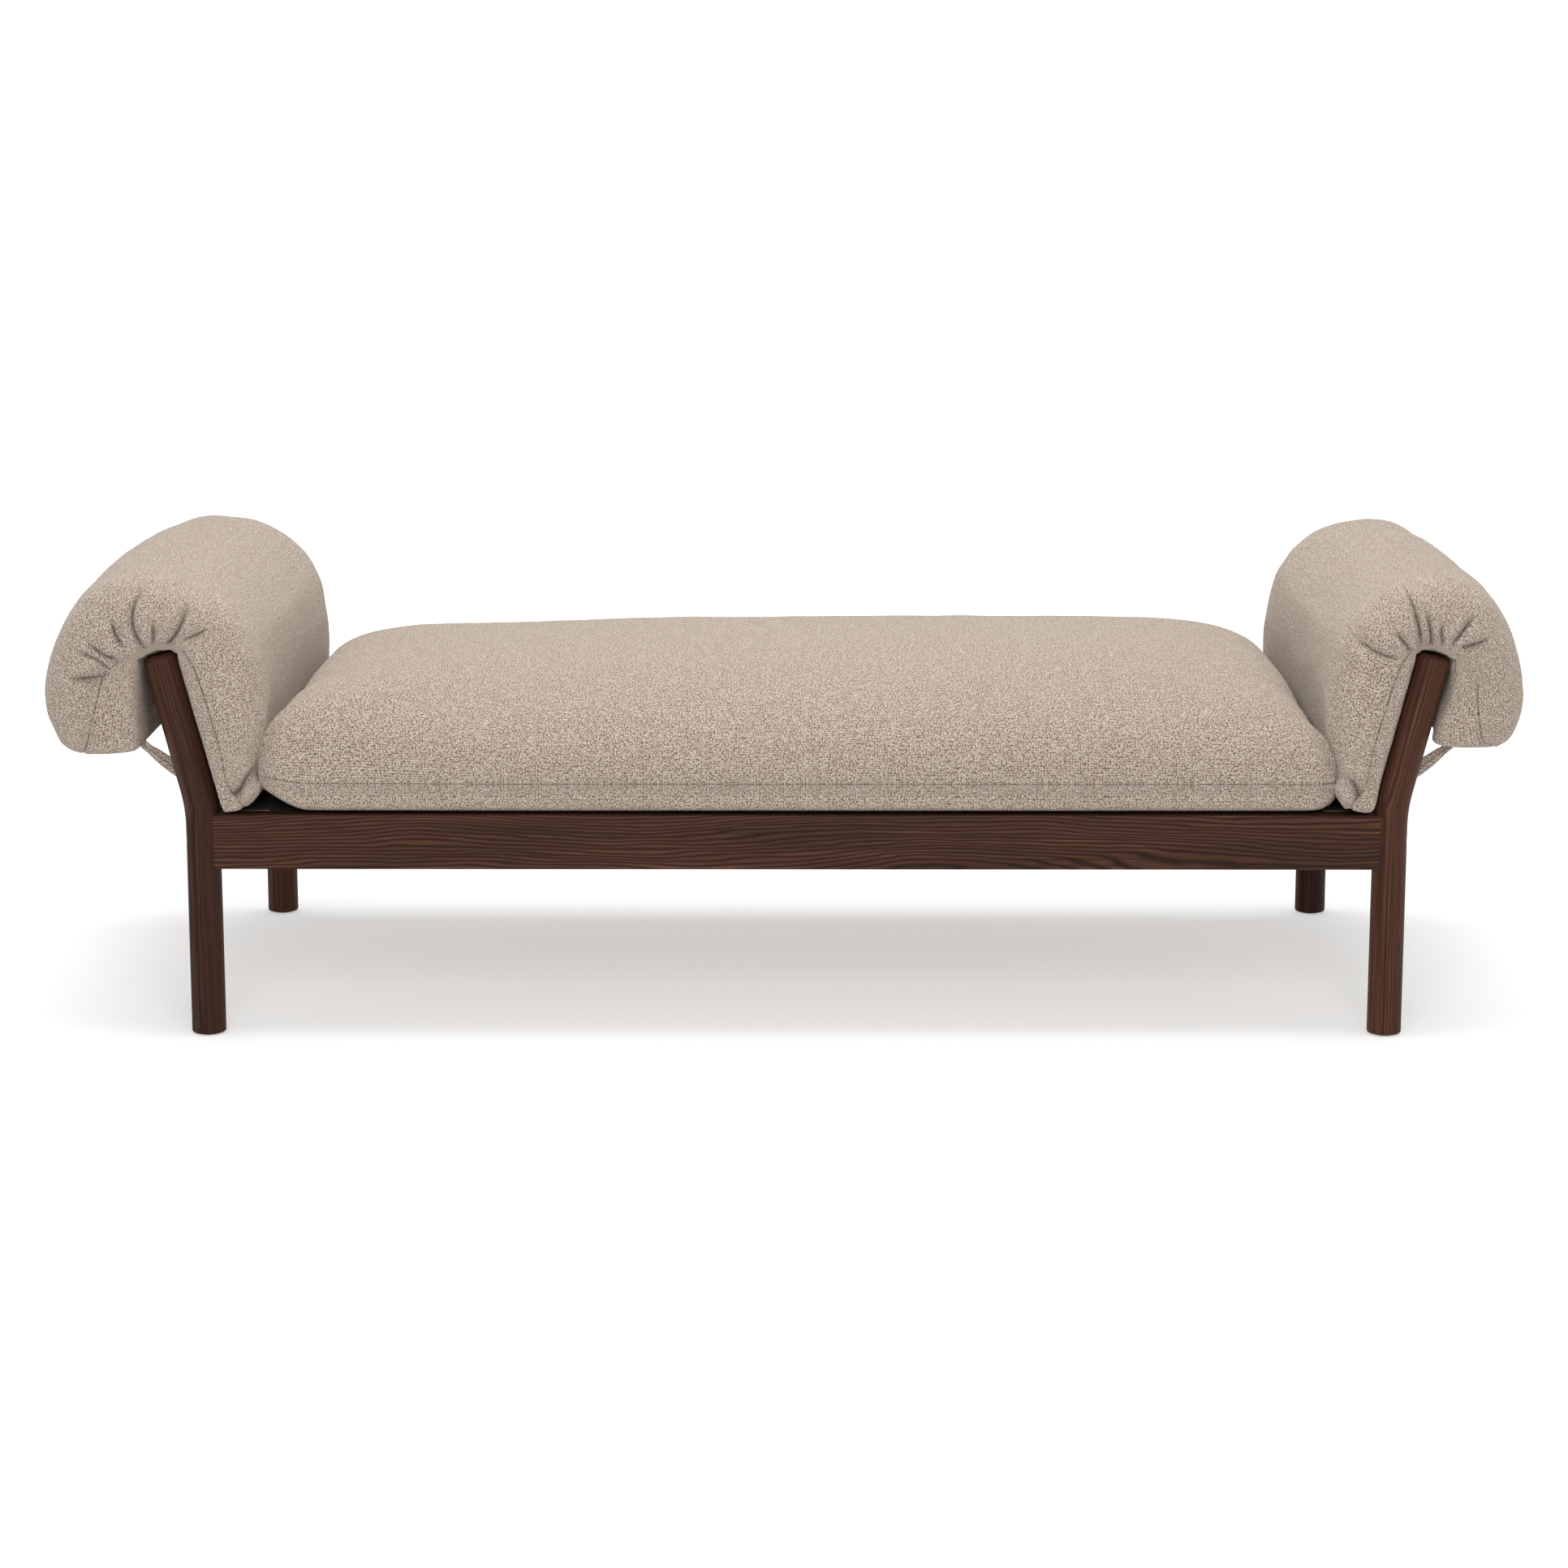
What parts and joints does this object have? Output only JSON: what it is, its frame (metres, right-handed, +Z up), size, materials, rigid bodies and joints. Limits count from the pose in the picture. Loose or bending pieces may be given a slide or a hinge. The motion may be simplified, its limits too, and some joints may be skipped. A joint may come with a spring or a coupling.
{
  "type": "daybed",
  "caption": "Backless wooden daybed with bent round posts, slatted deck, loose crowned seat cushion and a strapped saddle bolster folded over the top rail at each end.",
  "frame": {"origin": "on the floor, midway between the four feet", "axes": "+X along the daybed to the right seen from the front, +Y from front to back, +Z up"},
  "size_m": [2.018, 0.794, 0.637],
  "materials": {
    "walnut_stained_ash": "satin",
    "pale_hardwood": "matte",
    "dowel_beech": "matte",
    "black_deck_cloth": "matte",
    "black_nylon": "matte",
    "zinc_steel": "satin",
    "yellow_zinc_screws": "satin",
    "cushion_filling": "matte",
    "zip_tape": "matte",
    "zip_metal": "satin",
    "hook_and_loop": "matte",
    "oatmeal_weave": "matte"
  },
  "bodies": {
    "frame": {"barrel_nuts": "zinc_steel", "brace_dowels": "dowel_beech", "centre_brace": "pale_hardwood", "deck_cloth": "black_deck_cloth", "end_rail_dowels": "dowel_beech", "front_ledger": "pale_hardwood", "front_left_glide": "black_nylon", "front_left_post": "walnut_stained_ash", "front_rail": "walnut_stained_ash", "front_right_glide": "black_nylon", "front_right_post": "walnut_stained_ash", "ledger_screws": "yellow_zinc_screws", "left_end_rail": "walnut_stained_ash", "left_top_rail": "walnut_stained_ash", "rail_bolts": "zinc_steel", "rail_dowels": "dowel_beech", "rear_ledger": "pale_hardwood", "rear_left_glide": "black_nylon", "rear_left_post": "walnut_stained_ash", "rear_rail": "walnut_stained_ash", "rear_right_glide": "black_nylon", "rear_right_post": "walnut_stained_ash", "right_end_rail": "walnut_stained_ash", "right_top_rail": "walnut_stained_ash", "slat_01": "pale_hardwood", "slat_02": "pale_hardwood", "slat_03": "pale_hardwood", "slat_04": "pale_hardwood", "slat_05": "pale_hardwood", "slat_06": "pale_hardwood", "slat_07": "pale_hardwood", "slat_08": "pale_hardwood", "slat_09": "pale_hardwood", "slat_10": "pale_hardwood", "slat_11": "pale_hardwood", "slat_12": "pale_hardwood", "slat_screws": "yellow_zinc_screws", "top_rail_dowels": "dowel_beech"},
    "left_bolster": {"left_bolster_core": "cushion_filling", "left_bolster_cover": "oatmeal_weave", "left_bolster_strap_patches": "hook_and_loop", "left_bolster_zip_tape": "zip_tape"},
    "left_front_strap": {"left_bolster_front_strap": "oatmeal_weave"},
    "left_rear_strap": {"left_bolster_rear_strap": "oatmeal_weave"},
    "left_bolster_zip": {"left_bolster_zip_slider": "zip_metal"},
    "right_bolster": {"right_bolster_core": "cushion_filling", "right_bolster_cover": "oatmeal_weave", "right_bolster_strap_patches": "hook_and_loop", "right_bolster_zip_tape": "zip_tape"},
    "right_front_strap": {"right_bolster_front_strap": "oatmeal_weave"},
    "right_rear_strap": {"right_bolster_rear_strap": "oatmeal_weave"},
    "right_bolster_zip": {"right_bolster_zip_slider": "zip_metal"},
    "seat": {"seat_core": "cushion_filling", "seat_cover_base": "oatmeal_weave", "seat_cover_top": "oatmeal_weave", "seat_zip_tape": "zip_tape"},
    "seat_zip": {"seat_zip_slider": "zip_metal"}
  },
  "joints": [
    {"name": "seat_lift", "type": "slide", "parent": "frame", "child": "seat", "axis": [0, 0, 1], "range_m": [0, 0.4]},
    {"name": "seat_zip_slide", "type": "slide", "parent": "seat", "child": "seat_zip", "axis": [1, 0, 0], "range_m": [0, 0.876]},
    {"name": "left_bolster_lift", "type": "slide", "parent": "frame", "child": "left_bolster", "axis": [-0.2419, 0, 0.9703], "range_m": [0, 0.3]},
    {"name": "left_bolster_zip_slide", "type": "slide", "parent": "left_bolster", "child": "left_bolster_zip", "axis": [0, -1, 0], "range_m": [0, 0.596]},
    {"name": "left_front_strap_swing", "type": "hinge", "parent": "left_bolster", "child": "left_front_strap", "pos_m": [-0.8685, -0.342, 0.3915], "axis": [0, 1, 0], "range_deg": [0, 61]},
    {"name": "left_rear_strap_swing", "type": "hinge", "parent": "left_bolster", "child": "left_rear_strap", "pos_m": [-0.8685, 0.342, 0.3915], "axis": [0, 1, 0], "range_deg": [0, 61]},
    {"name": "right_bolster_lift", "type": "slide", "parent": "frame", "child": "right_bolster", "axis": [0.2419, 0, 0.9703], "range_m": [0, 0.3]},
    {"name": "right_bolster_zip_slide", "type": "slide", "parent": "right_bolster", "child": "right_bolster_zip", "axis": [0, -1, 0], "range_m": [0, 0.596]},
    {"name": "right_front_strap_swing", "type": "hinge", "parent": "right_bolster", "child": "right_front_strap", "pos_m": [0.8685, -0.342, 0.3915], "axis": [0, -1, 0], "range_deg": [0, 61]},
    {"name": "right_rear_strap_swing", "type": "hinge", "parent": "right_bolster", "child": "right_rear_strap", "pos_m": [0.8685, 0.342, 0.3915], "axis": [0, -1, 0], "range_deg": [0, 61]}
  ],
  "couplings": [
    {"joint": "left_front_strap_swing", "follows": "left_bolster_lift", "rad_per_m": 3.49},
    {"joint": "left_rear_strap_swing", "follows": "left_bolster_lift", "rad_per_m": 3.49},
    {"joint": "right_front_strap_swing", "follows": "right_bolster_lift", "rad_per_m": 3.49},
    {"joint": "right_rear_strap_swing", "follows": "right_bolster_lift", "rad_per_m": 3.49}
  ]
}
